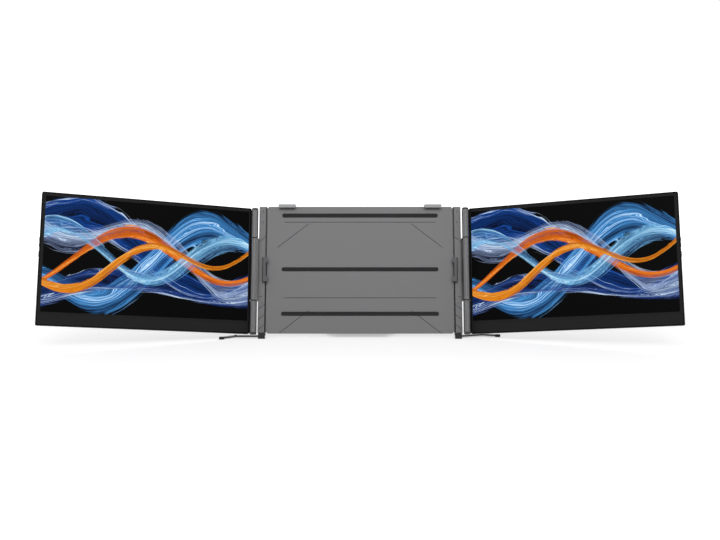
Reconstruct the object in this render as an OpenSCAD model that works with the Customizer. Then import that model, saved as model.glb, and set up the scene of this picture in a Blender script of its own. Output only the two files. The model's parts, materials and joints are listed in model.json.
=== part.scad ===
// Laptop screen extender: a frame that clips behind a laptop's lid and carries a display on each side.
// The frame, arms and displays are drawn upright, with the front towards -Y, and are then leaned back
// together, as the object stands on a desk at Z = 0. The right-hand side is drawn and the left mirrors it.
// Sizes are millimetres and degrees.

/* [Stance] */
// Lean of the frame and the hinge axes, back from upright
lean = 17; // [12:1:20]
// Swing of each display, forward of flat
swing = 20.2; // [5:0.1:60]

/* [Display] */
// Width of the picture
picture_w = 344.2; // [300:0.1:346]
// Height of the picture
picture_h = 193.6; // [180:0.1:210]
// Frame above the picture
bezel_top = 6.4; // [4:0.1:12]
// Frame at the outer side of the picture
bezel_outer = 6.6; // [5:0.1:10]
// Frame at the hinge side of the picture
bezel_inner = 4.4; // [3.2:0.1:7]
// Height of the plain strip below the picture
chin_h = 22.4; // [18:0.1:30]
// Frame between the picture and the strip below it
bezel_bottom = 3; // [2:0.1:5]
// Thickness of a display
screen_t = 9; // [8.5:0.1:12]
// Radius of a display's corners
screen_corner = 3; // [1:0.1:5]
// Thickness of the front frame
bezel_t = 2; // [1.2:0.1:2.5]
// Lip of the front frame over the panel's edge
bezel_lip = 0.5; // [0.3:0.1:0.8]
// Wall of the display's back cover
cover_wall = 1.6; // [1:0.1:1.8]
// Bevel round the back of a display
cover_bevel = 1.4; // [0.5:0.1:1.6]
// Height of a display's lower edge along the frame
screen_base = 6.5; // [6:0.1:8]
// Thickness of the display panel
panel_t = 2.9; // [2:0.1:3]
// Edge of the panel that the front frame covers
panel_edge = 1.5; // [0.5:0.1:2]

/* [Display electronics] */
// Length of the control board, along the display's side
board_h = 118; // [100:1:150]
// Width of the control board
board_w = 68; // [40:1:90]
// Thickness of the control board
board_t = 1; // [0.8:0.1:1.2]
// Height of the control board above the display's lower edge
board_base = 32; // [28:1:45]
// Depth of a socket, inwards
socket_depth = 7.5; // [6:0.1:10]
// Thickness of a socket
socket_t = 3.2; // [2.8:0.1:3.2]
// Length of each flat round-ended socket
socket_w = 9; // [8:0.1:10]
// Length of the video socket
video_w = 11.2; // [10:0.1:13]
// Spacing of the sockets
socket_pitch = 18; // [15:1:22]
// Length of the power button
button_w = 9; // [6:0.1:10]
// Length of the adjusting rocker
rocker_w = 16; // [12:0.1:20]
// Thickness of the power button and the rocker
button_t = 2.8; // [2:0.1:3]
// Height of the power button and the rocker above the display's side
button_rise = 0.6; // [0.4:0.1:1]
// Travel of the power button
button_travel = 0.35; // [0.2:0.05:0.4]

/* [Display hinges] */
// Radius of the hinge barrels
barrel_r = 6; // [5:0.1:6]
// Radius of the hinge shaft
shaft_r = 2.5; // [2:0.1:3]
// Running clearance round the hinge shaft
shaft_gap = 0.05; // [0.02:0.01:0.08]
// Distance from the left hinge axis to its display's edge
left_hinge_gap = 5.2; // [4.5:0.1:5.6]
// Distance from the right hinge axis to its display's edge
right_hinge_gap = 3.7; // [2:0.1:5.6]
// Distance from the arm's outer edge to the hinge axis
hinge_offset = 7; // [6.8:0.1:12]
// Length of the middle barrel, on the arm
mid_barrel_h = 110; // [90:1:120]
// Distance from the top of the barrels to the top of the frame
hinge_drop = 7.3; // [4:0.1:20]
// How far the middle barrel stands above the middle of the hinge
mid_barrel_up = 2.7; // [0:0.1:5]
// Gap between barrels
barrel_gap = 0.6; // [0.2:0.1:1]
// Bevel round the ends of the barrels
barrel_bevel = 0.8; // [0.3:0.1:0.9]
// Thickness of the caps at the ends of the hinge shaft
cap_t = 2.6; // [1.5:0.1:2.8]

/* [Frame] */
// Width of the bay between the jaws, at rest
lid_w = 327; // [315:1:340]
// Thickness of the frame
frame_t = 9; // [8:0.1:11]
// Height of the frame's lower edge along the frame
frame_base = 8; // [8:0.1:10]
// Height of the frame
frame_h = 224.9; // [216:0.1:240]
// Width of each arm's upright
arm_w = 14; // [12:0.1:16]
// Thickness of the front plate
front_t = 2.6; // [2:0.1:3]
// Wall of the back cover
back_wall = 1.6; // [1.2:0.1:2]
// Radius of the frame's corners
frame_corner = 4; // [2:0.1:6]
// Bevel round the back of the frame
frame_bevel = 1.2; // [0.5:0.1:1.5]
// Thickness of the rubber strips that the lid lies on
lid_pad_t = 0.8; // [0.5:0.1:1]
// Gap between an arm and the middle of the frame, at rest
arm_gap = 0.3; // [0.2:0.1:1]

/* [Sliding arms] */
// Outward travel of each arm
arm_travel = 36; // [20:1:40]
// Thickness of the slide plate
slide_t = 2.2; // [1.6:0.1:2.4]
// Running clearance round the slide plate
slide_gap = 0.1; // [0.05:0.01:0.2]
// Height of the slide plate
slide_h = 165; // [150:1:170]
// Height of the slide plate's lower edge along the frame
slide_base = 20; // [18:1:24]
// Distance from the middle to the slide plate's inner end
slide_inner = 60; // [56:1:70]
// Depth of the rail's groove
groove_depth = 3; // [2:0.1:4]
// Height of each guide rail
rail_h = 7; // [5.5:0.1:8]
// Radius of the posts that stop the arms
post_r = 3; // [2.5:0.1:4]
// Distance from the frame's side to those posts
post_inset = 33.2; // [24:0.1:48]
// Number of turns in each return spring
spring_turns = 10; // [6:1:14]
// Radius of each return spring's turns
spring_r = 1.3; // [1:0.1:1.4]
// Radius of the return springs' wire
wire_r = 0.4; // [0.3:0.05:0.45]
// Distance from the middle to each spring's fixed end
spring_inner = 13; // [10:1:20]

/* [Lid grips] */
// How far the jaws and hooks stand in front of the frame
grip_reach = 9.5; // [8.5:0.1:12]
// Thickness of their front lips
lip_t = 1.7; // [1.2:0.1:2]
// Height of each side jaw
jaw_h = 42.4; // [30:0.1:60]
// Width of each side jaw
jaw_w = 6.2; // [5:0.1:9]
// Height of the jaw's two prongs
prong_h = 9; // [6:0.1:12]
// Reach of the prongs over the lid's edge
prong_reach = 3.2; // [2:0.1:6]
// Thickness of the jaw's rubber lining
jaw_pad_t = 0.8; // [0.5:0.1:1]
// Width of each top hook
hook_w = 30; // [20:1:40]
// Distance from the frame's side to the middle of each top hook
hook_inset = 34.7; // [34:0.1:72]
// Height of each top hook above the frame
hook_rise = 2.6; // [2:0.1:6]
// Drop of the hook's front lip below its top
hook_drop = 6; // [5:0.1:12]
// Width of the hook's stem
stem_w = 22; // [14:1:26]
// Length of the hook's stem inside the frame
stem_h = 36; // [32:1:37]
// Upward travel of each top hook
hook_travel = 25; // [15:1:28]

/* [Stand] */
// Distance from the arm's inner edge to the leg's pivot
leg_pivot_x = 8; // [7.5:0.1:9]
// Depth of the leg's pivot behind the frame's front, on the desk
leg_pivot_y = 5; // [3:0.1:6]
// Length of the leg from its pivot to its bend
leg_inner = 44; // [36:1:50]
// Length of the leg from its bend to its tip
leg_outer = 28; // [25:1:42]
// Bend of the leg
leg_bend = 38; // [20:1:50]
// Width of the leg
leg_w = 8; // [6:0.1:9]
// Thickness of the leg
leg_t = 2.2; // [1.6:0.1:2.2]
// Radius of the leg's rubber tip
leg_tip_r = 4.6; // [4.5:0.1:6]
// Radius of the leg's pivot pin
leg_pin_r = 2; // [1.5:0.1:2.4]
// How far back the right-hand leg is swung
right_leg_back = 20; // [0:1:40]
// Length of the kickstand from its pivot to its tip
kick_len = 105; // [80:1:120]
// Width of the kickstand at its hinge
kick_root_w = 91; // [60:1:100]
// Width of the kickstand at its tip
kick_tip_w = 120; // [101:1:130]
// Thickness of the kickstand
kick_t = 2.4; // [1.6:0.1:2.6]
// Radius of the kickstand's barrel
kick_barrel_r = 3.2; // [2.6:0.1:3.4]
// Radius of the kickstand's pin
kick_pin_r = 1.5; // [1:0.1:1.8]
// Radius of the kickstand's rubber tip
kick_tip_r = 2.5; // [2:0.1:3]

/* [Hidden] */
$fn = 48;
eps = 0.01;
slip = 0.15;

// Display, measured from its hinge side outwards, from its front backwards and from its lower edge up
screen_w = bezel_inner + picture_w + bezel_outer;
screen_h = chin_h + picture_h + bezel_top;
screen_in = 0;
screen_out = screen_w;
screen_top = screen_base + screen_h;
picture_x = [screen_in + bezel_inner, screen_out - bezel_outer];
picture_z = [screen_base + chin_h, screen_top - bezel_top];
chin_top = picture_z[0] - bezel_bottom;
chin_seam = 0.2;
control_y = (bezel_lip + panel_t + screen_t - cover_wall) / 2;
board_edge = screen_out - cover_wall - 2;
flange_t = 0.8;
flange_in = screen_out - cover_wall - slip - flange_t;
stem_nub = 0.3;
rocker_pin_r = 0.35;
rocker_pivot = screen_out - cover_wall - rocker_pin_r - 0.05;
control_room = (screen_t - cover_wall - bezel_lip - panel_t) / 2 - 0.2;
power_z = screen_base + board_base + board_h - 32;
rocker_z = power_z + 20;
socket_z = [for (i = [0:1]) screen_base + board_base + 14 + i * socket_pitch];
video_z = socket_z[1] + socket_pitch + 2;
chin_screw_z = screen_base + chin_h / 2 - 1.5;
chin_screws = [for (i = [0:3]) screen_in + 22 + i * (screen_w - 44) / 3];
screw_r = 1.1;
screw_head_r = 2.2;
screw_head_t = 1.1;

// Frame and arms, measured from the middle outwards
arm_in = lid_w / 2 + arm_gap;
arm_out = arm_in + arm_w;
arm_corner = 1.5;
hinge_x = arm_out + hinge_offset;
frame_half = arm_in - arm_gap - 0.3;
post_x = frame_half - post_inset;
hook_x = frame_half - hook_inset;
frame_top = frame_base + frame_h;
cavity_y = [front_t, frame_t - back_wall];
slide_y = [(cavity_y[0] + cavity_y[1] - slide_t) / 2 - 0.5, (cavity_y[0] + cavity_y[1] + slide_t) / 2 - 0.5];
slide_z = [slide_base, slide_base + slide_h];
slide_mid_y = (slide_y[0] + slide_y[1]) / 2;
post_z = [slide_z[0] + 40, slide_z[1] - 40];
spine_z = [frame_base + 20, frame_top - 24];
spring_z = (slide_z[0] + slide_z[1]) / 2;
spring_len = slide_inner - spring_inner;

// The left display folds over the jaws, and the right display folds over the left one
fold_gap = 1;
open_face = -1.5;
left_closed_face = -(grip_reach + fold_gap);
right_closed_face = left_closed_face - screen_t - fold_gap;
function hinge_y(s) = ((s < 0 ? left_closed_face : right_closed_face) + open_face) / 2;
function face_y(s) = open_face - hinge_y(s);
function hinge_gap(s) = s < 0 ? left_hinge_gap : right_hinge_gap;

// Barrels along a hinge axis: the two end barrels, on the display, share what the middle one leaves
end_barrel_h = (frame_h - hinge_drop - mid_barrel_h) / 2 - barrel_gap;
low_barrel_base = frame_base;
low_barrel_h = end_barrel_h + mid_barrel_up;
mid_barrel_base = low_barrel_base + low_barrel_h + barrel_gap;
top_barrel_base = mid_barrel_base + mid_barrel_h + barrel_gap;
top_barrel_h = end_barrel_h - mid_barrel_up;
barrels_top = top_barrel_base + top_barrel_h;

// Grips
jaw_mid_z = 119;
jaw_in = lid_w / 2 + jaw_pad_t;
jaw_z = [jaw_mid_z - jaw_h / 2, jaw_mid_z + jaw_h / 2];
hook_z = [frame_top + 0.2, frame_top + hook_rise];
hook_bevel = 0.8;
jaw_bevel = 1.6;
stem_z = frame_top - stem_h;
rail_wall = 1.2;

// Engraved marks: sloping lines, a level dash and dots, as heights where they cross the middle of an arm
line_w = 0.9;
line_slope = 38;
dot_r = 0.9;
arm_lines = [for (up = [11.5, 29, 47, 167]) frame_base + up];
arm_dash = frame_base + 64;
dash_w = 6;
arm_dots = [for (up = [53, 197, 216]) frame_base + up];

// Stand, on the desk
leg_z = 1.2;
leg_root_r = 6.5;
leg_post_r = 1.6;
leg_post_top = 4.6;
foot_out = arm_out - 2;
foot_front = -grip_reach;
foot_split = leg_pivot_y - leg_root_r - 0.8;
foot_clear = leg_z + leg_t + 0.3;
pin_head_r = leg_pin_r + 1.6;
pin_head_t = 0.75;
pivot_x = arm_in + leg_pivot_x;
kick_y = frame_t + 3.5;
kick_z = frame_base + 4;
kick_height = kick_z * cos(lean) - kick_y * sin(lean);
kick_open = 90 - lean + asin((kick_height - kick_tip_r) / kick_len);
kick_slot_w = 44;
kick_slot_h = 12;
lug_w = 6;
lug_r = kick_y - frame_t;

gunmetal = [0.42, 0.43, 0.45];
dark_grey = [0.16, 0.16, 0.17];
near_black = [0.05, 0.05, 0.055];
pale_grey = [0.66, 0.67, 0.69];
steel = [0.7, 0.71, 0.73];
board_green = [0.08, 0.28, 0.16];
nylon = [0.85, 0.84, 0.8];

// Frames of reference

module leaned() {
  rotate([-lean, 0, 0]) children();
}

module on_side(s) {
  if (s < 0) mirror([1, 0, 0]) children();
  else children();
}

module arm_frame(s) {
  leaned() on_side(s) children();
}

// Origin on the hinge axis, X outwards along the display, Y backwards
module hinge_frame(s) {
  arm_frame(s) translate([hinge_x, hinge_y(s), 0]) rotate([0, 0, -swing]) children();
}

// Origin at the display's hinge side, at the depth of the hinge axis
module screen_frame(s) {
  hinge_frame(s) translate([hinge_gap(s), 0, 0]) children();
}

// Origin on the axis of a leg's pivot, at the desk
module leg_frame(s) {
  on_side(s) translate([pivot_x, leg_pivot_y, 0]) rotate([0, 0, s > 0 ? right_leg_back : 0]) children();
}

// Origin on the kickstand's pin, Z along the kickstand
module kick_frame() {
  leaned() translate([0, kick_y, kick_z]) rotate([-kick_open, 0, 0]) children();
}

// Shared shapes

module span(x, y, z) {
  translate([x[0], y[0], z[0]]) cube([x[1] - x[0], y[1] - y[0], z[1] - z[0]]);
}

module round_rect(x, z, r) {
  translate([x[0] + r, z[0]]) square([x[1] - x[0] - 2 * r, z[1] - z[0]]);
  translate([x[0], z[0] + r]) square([x[1] - x[0], z[1] - z[0] - 2 * r]);
  for (cx = [x[0] + r, x[1] - r], cz = [z[0] + r, z[1] - r]) translate([cx, cz]) circle(r);
}

// A plate that faces the front, with round corners
module slab(x, y, z, r) {
  translate([0, y[1], 0]) rotate([90, 0, 0]) linear_extrude(y[1] - y[0]) round_rect(x, z, r);
}

// What a 45 degree bevel takes off the back edges of a plate
module back_bevels(x, y, z, c) {
  d = c * sqrt(2);
  mid = [(x[0] + x[1]) / 2, (z[0] + z[1]) / 2];
  long = [x[1] - x[0] + 2, z[1] - z[0] + 2];
  for (ex = x) translate([ex, y, mid[1]]) rotate([0, 0, 45]) cube([d, d, long[1]], center = true);
  for (ez = z) translate([mid[0], y, ez]) rotate([45, 0, 0]) cube([long[0], d, d], center = true);
}

// A rod along Y
module rod_y(x, y, z, r) {
  translate([x, y[0], z]) rotate([-90, 0, 0]) cylinder(h = y[1] - y[0], r = r);
}

// Countersunk screw whose head lies flush in a back face at y, and the seat for it
module screw(x, y, z, length) {
  difference() {
    union() {
      rod_y(x, [y - length, y - screw_head_t + eps], z, screw_r);
      translate([x, y - screw_head_t, z]) rotate([-90, 0, 0])
        cylinder(h = screw_head_t, r1 = screw_r, r2 = screw_head_r);
    }
    translate([x, y - 0.7, z]) rotate([-90, 0, 0]) cylinder(h = 1, r = 1, $fn = 6);
  }
}

module screw_seat(x, y, z, length) {
  rod_y(x, [y - length, y], z, screw_r);
  translate([x, y - screw_head_t, z]) rotate([-90, 0, 0])
    cylinder(h = screw_head_t, r1 = screw_r, r2 = screw_head_r);
  rod_y(x, [y - eps, y + 1], z, screw_head_r);
}

// A barrel along Z with bevelled ends
module barrel(h) {
  rotate_extrude() polygon([
    [0, 0], [barrel_r - barrel_bevel, 0], [barrel_r, barrel_bevel], [barrel_r, h - barrel_bevel],
    [barrel_r - barrel_bevel, h], [0, h]
  ]);
}

// Where a flat face that ends at a corner beyond a barrel springs from within the barrel's skin
function leaf_root(corner, turn) =
  let (r = 0.85 * barrel_r, a = atan2(corner[1], corner[0]) + turn * acos(r / norm(corner))) r * [cos(a), sin(a)];

// Centre of the frame

module centre_front_plate() {
  x = [-frame_half, frame_half];
  z = [frame_base, frame_top];
  color(gunmetal) leaned() union() {
    difference() {
      slab(x, [0, front_t], z, frame_corner);
      // engraved lines that rise towards the middle, in mirrored pairs
      for (s = [-1, 1], line_z = [frame_base + 18, frame_top - 52])
        translate([s * frame_half * 0.72, 0, line_z]) rotate([0, s * line_slope, 0])
          cube([70, 0.8, line_w], center = true);
      for (line_z = [frame_base + 62, frame_top - 28])
        translate([0, 0, line_z]) cube([2 * frame_half - 60, 0.8, line_w], center = true);
    }
    // blocks that hold the fixed ends of the return springs
    for (s = [-1, 1]) on_side(s)
      span([spring_inner - 5, spring_inner], [front_t - eps, cavity_y[1] - slip],
           [spring_z - 4, spring_z + 4]);
  }
}

module centre_back_cover() {
  x = [-frame_half, frame_half];
  z = [frame_base, frame_top];
  stem_x = [hook_x - stem_w / 2 - slide_gap, hook_x + stem_w / 2 + slide_gap];
  color(gunmetal) leaned() difference() {
    union() {
      difference() {
        slab(x, [front_t, frame_t], z, frame_corner);
        back_bevels(x, frame_t, z, frame_bevel);
        span([x[0] + back_wall, x[1] - back_wall], [front_t - 1, cavity_y[1]],
             [z[0] + back_wall, z[1] - back_wall]);
      }
      // posts that stop the arms and take the screws
      for (s = [-1, 1], pz = post_z) rod_y(s * post_x, [cavity_y[0], cavity_y[1] + eps], pz, post_r);
      for (pz = spine_z) rod_y(0, [cavity_y[0], cavity_y[1] + eps], pz, post_r);
      // guides beside the stems of the top hooks
      for (s = [-1, 1]) on_side(s) {
        for (gx = [[stem_x[0] - rail_wall, stem_x[0]], [stem_x[1], stem_x[1] + rail_wall]])
          span(gx, [cavity_y[0], cavity_y[1] + eps], [stem_z + 2, z[1] - back_wall + eps]);
      }
      // lugs of the kickstand's hinge
      for (s = [-1, 1]) on_side(s)
        translate([kick_root_w / 2 + slip * 2, 0, 0]) {
          translate([0, kick_y, kick_z]) rotate([0, 90, 0]) cylinder(h = lug_w, r = lug_r);
          span([0, lug_w], [frame_t - 1, kick_y], [kick_z - lug_r, kick_z + lug_r]);
        }
    }
    // slots where the slide plates come out
    for (s = [-1, 1]) on_side(s)
      span([frame_half - back_wall - 1, frame_half + 1],
           [slide_y[0] - slide_gap, slide_y[1] + slide_gap], [slide_z[0] - slide_gap, slide_z[1] + slide_gap]);
    // slots for the stems of the top hooks
    for (s = [-1, 1]) on_side(s)
      span(stem_x, [slide_y[0] - slide_gap, slide_y[1] + slide_gap], [z[1] - back_wall - 1, z[1] + 1]);
    // screw seats
    for (s = [-1, 1], pz = post_z) screw_seat(s * post_x, frame_t, pz, frame_t - front_t);
    for (pz = spine_z) screw_seat(0, frame_t, pz, frame_t - front_t);
    translate([-kick_tip_w, kick_y, kick_z]) rotate([0, 90, 0])
      cylinder(h = 2 * kick_tip_w, r = kick_pin_r);
  }
}

module guide_rails() {
  x = [slide_inner + 2, frame_half - back_wall];
  color(nylon) leaned()
    for (s = [-1, 1], low = [true, false]) on_side(s)
      difference() {
        span(x, cavity_y, low ? [slide_z[0] - rail_h + groove_depth, slide_z[0] + groove_depth]
                              : [slide_z[1] - groove_depth, slide_z[1] + rail_h - groove_depth]);
        span([x[0] - 1, x[1] + 1], [slide_y[0] - slide_gap, slide_y[1] + slide_gap],
             [slide_z[0] - slide_gap, slide_z[1] + slide_gap]);
      }
}

module lid_pads() {
  pad_h = 7;
  color(near_black) leaned()
    for (pad_z = [frame_base + 34, (frame_base + frame_top) / 2, frame_top - 16])
      slab([-frame_half + 26, frame_half - 26], [-lid_pad_t, 0], [pad_z - pad_h / 2, pad_z + pad_h / 2],
           pad_h / 2 - 0.5);
}

module centre_screws() {
  color(dark_grey) leaned() {
    for (s = [-1, 1], pz = post_z) screw(s * post_x, frame_t, pz, frame_t - front_t - 0.5);
    for (pz = spine_z) screw(0, frame_t, pz, frame_t - front_t - 0.5);
  }
}

// A close coil with a straight end at each side, as one tube along X
function coil_point(t, lead, turns, length, r) =
  t < 0 ? [lead * (1 + t), 0, 0]
  : t > 1 ? [length - lead * (2 - t), 0, 0]
  : let (rise = min(1, 6 * t * turns, 6 * (1 - t) * turns))
    [lead + t * (length - 2 * lead), rise * r * cos(360 * turns * t), rise * r * sin(360 * turns * t)];

module coil(length, turns, r, wire) {
  lead = 3;
  steps = turns * 10;
  sides = 6;
  stations = concat([-1], [for (i = [0:steps]) i / steps], [2]);
  points = [for (t = stations) coil_point(t, lead, turns, length, r)];
  last = len(points) - 1;
  rings = [
    for (i = [0:last]) let (
      along = points[min(last, i + 1)] - points[max(0, i - 1)],
      t = (i == 0 || i == last) ? [1, 0, 0] : along / norm(along),
      u = cross(t, [0, 0, 1]) / norm(cross(t, [0, 0, 1])),
      v = cross(t, u)
    ) for (k = [0:sides - 1]) points[i] + wire * (u * cos(360 * k / sides) + v * sin(360 * k / sides))
  ];
  walls = [
    for (i = [0:last - 1], k = [0:sides - 1]) let (
      a = i * sides + k, b = i * sides + (k + 1) % sides, c = b + sides, d = a + sides
    ) each [[a, b, c], [a, c, d]]
  ];
  ends = [
    for (k = [1:sides - 2]) each [[0, k + 1, k], [last * sides, last * sides + k, last * sides + k + 1]]
  ];
  polyhedron(points = rings, faces = concat(walls, ends));
}

module return_spring(s) {
  color(steel) arm_frame(s) translate([spring_inner, slide_mid_y, spring_z])
    coil(spring_len, spring_turns, spring_r, wire_r);
}

module left_return_spring() { return_spring(-1); }
module right_return_spring() { return_spring(1); }

module top_hook(s) {
  x = [hook_x - hook_w / 2, hook_x + hook_w / 2];
  color(pale_grey) arm_frame(s) difference() {
    union() {
      span([hook_x - stem_w / 2, hook_x + stem_w / 2], slide_y, [stem_z, hook_z[0] + eps]);
      translate([x[0], 0, 0]) rotate([90, 0, 90]) linear_extrude(hook_w) polygon([
        [slide_y[1], hook_z[0]], [slide_y[1], hook_z[1] - hook_bevel], [slide_y[1] - hook_bevel, hook_z[1]],
        [-grip_reach + hook_bevel, hook_z[1]], [-grip_reach, hook_z[1] - hook_bevel],
        [-grip_reach, hook_z[1] - hook_drop], [-grip_reach + lip_t * 0.6, hook_z[1] - hook_drop],
        [-grip_reach + lip_t, hook_z[1] - hook_drop + hook_bevel], [-grip_reach + lip_t, hook_z[0]]
      ]);
    }
    // thumb groove across the hook's top
    for (i = [-2:2]) translate([hook_x + i * 4, -2, hook_z[1]]) cube([1, 6, 0.8], center = true);
  }
}

module left_top_hook() { top_hook(-1); }
module right_top_hook() { top_hook(1); }

module kickstand() {
  root = kick_root_w / 2;
  tip = kick_tip_w / 2;
  flare = lug_r + 4;
  color(gunmetal) kick_frame() difference() {
    union() {
      translate([-root, 0, 0]) rotate([0, 90, 0]) cylinder(h = kick_root_w, r = kick_barrel_r);
      translate([0, kick_t / 2, 0]) rotate([90, 0, 0]) linear_extrude(kick_t) polygon([
        [-root, 0], [root, 0], [root, flare], [tip, flare + tip - root], [tip, kick_len - 0.5],
        [-tip, kick_len - 0.5], [-tip, flare + tip - root], [-root, flare]
      ]);
    }
    translate([-root - 1, 0, 0]) rotate([0, 90, 0]) cylinder(h = kick_root_w + 2, r = kick_pin_r + shaft_gap);
    // finger slot
    slab([-kick_slot_w / 2, kick_slot_w / 2], [-kick_t, kick_t],
         [kick_len - 18 - kick_slot_h, kick_len - 18], kick_slot_h / 2 - 0.1);
    // shallow panel on the face that shows
    slab([-root + 6, root - 6], [kick_t / 2 - 0.5, kick_t], [kick_barrel_r + 8, kick_len - 38], 4);
  }
}

module kickstand_pin() {
  length = kick_root_w + 2 * lug_w + 4 * slip;
  color(steel) leaned() translate([-length / 2, kick_y, kick_z]) rotate([0, 90, 0])
    cylinder(h = length, r = kick_pin_r);
}

module kickstand_tip() {
  length = kick_tip_w - 4;
  color(near_black) kick_frame() difference() {
    translate([-length / 2, 0, kick_len]) rotate([0, 90, 0]) cylinder(h = length, r = kick_tip_r);
    span([-kick_tip_w, kick_tip_w], [-kick_t / 2, kick_t / 2], [0, kick_len - 0.5]);
  }
}

// Sliding arms

module slide_plate(s) {
  x = [slide_inner, arm_out - 1];
  slot_x = [post_x - arm_travel - post_r - slip, post_x + post_r + slip];
  color(steel) arm_frame(s) difference() {
    span(x, slide_y, slide_z);
    for (pz = post_z) slab(slot_x, [0, frame_t], [pz - post_r - slip, pz + post_r + slip], post_r + slip - 0.05);
    // windows that lighten the plate
    for (wz = [[post_z[0] + 12, spring_z - 8], [spring_z + 8, post_z[1] - 12]])
      slab([slide_inner + 12, arm_in - 14], [0, frame_t], wz, 4);
    slab([slide_inner + 30, arm_in - 14], [0, frame_t], [spring_z - 4, spring_z + 4], 3.9);
  }
}

module arm_front(s) {
  x = [arm_in, arm_out];
  line_x = (arm_in + arm_out) / 2;
  color(gunmetal) arm_frame(s) difference() {
    slab(x, [0, slide_y[1]], [frame_base, frame_top], arm_corner);
    span([arm_in - 1, arm_out - 1], [slide_y[0], slide_y[1] + 1], slide_z);
    for (line_z = arm_lines)
      translate([line_x, 0, line_z]) rotate([0, line_slope, 0]) cube([arm_w * 1.6, 0.7, line_w], center = true);
    translate([arm_out - arm_corner - dash_w / 2, 0, arm_dash]) cube([dash_w, 0.7, line_w], center = true);
    for (dot_z = arm_dots) rod_y(line_x, [-1, 0.4], dot_z, dot_r);
  }
}

module arm_back(s) {
  x = [arm_in, arm_out];
  z = [frame_base, frame_top];
  color(gunmetal) arm_frame(s) difference() {
    slab(x, [slide_y[1], frame_t], z, arm_corner);
    back_bevels(x, frame_t, z, 0.8);
    for (sz = arm_screw_z()) screw_seat((arm_in + arm_out) / 2, frame_t, sz, frame_t - slide_y[1]);
  }
}

function arm_screw_z() = [for (i = [0:3]) frame_base + 9 + i * (frame_h - 18) / 3];

module arm_screws(s) {
  color(dark_grey) arm_frame(s)
    for (sz = arm_screw_z()) screw((arm_in + arm_out) / 2, frame_t, sz, frame_t - slide_y[1]);
}

module jaw(s) {
  inner = jaw_in;
  outer = jaw_in + jaw_w;
  color(gunmetal) arm_frame(s) difference() {
    translate([0, 0, jaw_z[0]]) linear_extrude(jaw_h) polygon([
      [outer, 0], [outer, -grip_reach + jaw_bevel], [outer - jaw_bevel, -grip_reach],
      [inner - prong_reach, -grip_reach],
      [inner - prong_reach, -grip_reach + lip_t * 0.6], [inner - prong_reach + 1, -grip_reach + lip_t],
      [inner, -grip_reach + lip_t], [inner, 0]
    ]);
    // between its two prongs the jaw is a plain wall
    span([0, inner], [-grip_reach - 1, 1], [jaw_z[0] + prong_h, jaw_z[1] - prong_h]);
  }
}

module jaw_pad(s) {
  color(near_black) arm_frame(s)
    span([lid_w / 2, jaw_in], [-grip_reach + lip_t, 0], [jaw_z[0] + 1, jaw_z[1] - 1]);
}

// The middle barrel stands on a web that is screwed to the arm's outer face
module hinge_block(s) {
  front = [-hinge_offset, 0.5 - grip_reach - hinge_y(s)];
  back = [-hinge_offset, frame_t - 0.6 - hinge_y(s)];
  color(gunmetal) arm_frame(s) translate([hinge_x, hinge_y(s), mid_barrel_base])
    difference() {
      union() {
        barrel(mid_barrel_h);
        linear_extrude(mid_barrel_h) polygon([[0, 0], leaf_root(back, -1), back, front, leaf_root(front, 1)]);
      }
      translate([0, 0, -1]) cylinder(h = mid_barrel_h + 2, r = shaft_r + shaft_gap / 2);
    }
}

module hinge_shaft(s) {
  reach = 0.2;
  color(dark_grey) arm_frame(s) translate([hinge_x, hinge_y(s), 0]) {
    translate([0, 0, low_barrel_base - reach - cap_t])
      cylinder(h = barrels_top - low_barrel_base + 2 * (reach + cap_t) - 1, r = shaft_r);
    for (cap = [[low_barrel_base - reach - cap_t, 0.8, 0], [barrels_top + reach, 0, 0.8]])
      translate([0, 0, cap[0]]) {
        translate([0, 0, cap[1]]) cylinder(h = cap_t - 0.8, r = barrel_r - 0.3);
        translate([0, 0, cap[1] > 0 ? 0 : cap_t - 0.8])
          cylinder(h = 0.8, r1 = barrel_r - 0.3 - cap[1], r2 = barrel_r - 0.3 - cap[2]);
      }
  }
}

module foot(s) {
  color(near_black) on_side(s) difference() {
    rotate([-lean, 0, 0]) span([arm_in + 0.4, foot_out], [foot_front, frame_t], [-30, frame_base]);
    span([0, 2 * hinge_x], [-100, 100], [-100, 0]);
    span([0, 2 * hinge_x], [foot_split, 100], [-1, foot_clear]);
    translate([pivot_x, leg_pivot_y, 0]) cylinder(h = foot_clear + 2.6, r = leg_pin_r);
  }
}

module leg_pin(s) {
  color(steel) on_side(s) translate([pivot_x, leg_pivot_y, 0]) {
    translate([0, 0, leg_z + 0.1]) cylinder(h = pin_head_t, r = pin_head_r);
    translate([0, 0, leg_z + 0.1]) cylinder(h = foot_clear + 2.5 - leg_z - 0.1, r = leg_pin_r);
  }
}

module leg_outline() {
  circle(leg_root_r);
  translate([0, -leg_w / 2]) square([leg_inner, leg_w]);
  translate([leg_inner, 0]) {
    circle(leg_w / 2);
    rotate(-leg_bend) {
      translate([0, -leg_w / 2]) square([leg_outer, leg_w]);
      translate([leg_outer, 0]) circle(leg_w / 2);
    }
  }
}

module leg(s) {
  color(near_black) leg_frame(s) difference() {
    union() {
      translate([0, 0, leg_z]) linear_extrude(leg_t) leg_outline();
      translate([leg_inner, 0, leg_z]) cylinder(h = leg_post_top - leg_z, r = leg_post_r);
    }
    translate([0, 0, -1]) cylinder(h = 10, r = leg_pin_r + shaft_gap);
    translate([0, 0, -1]) cylinder(h = 1 + leg_z + pin_head_t + 0.15, r = pin_head_r + slip);
  }
}

module leg_tip(s) {
  color(dark_grey) leg_frame(s) translate([leg_inner, 0, 0]) rotate([0, 0, -leg_bend])
    translate([leg_outer, 0, 0]) difference() {
      cylinder(h = leg_z + leg_t + 0.3, r = leg_tip_r);
      translate([0, 0, leg_z]) linear_extrude(leg_t) {
        circle(leg_w / 2);
        translate([-leg_outer, -leg_w / 2]) square([leg_outer, leg_w]);
      }
    }
}

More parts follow.
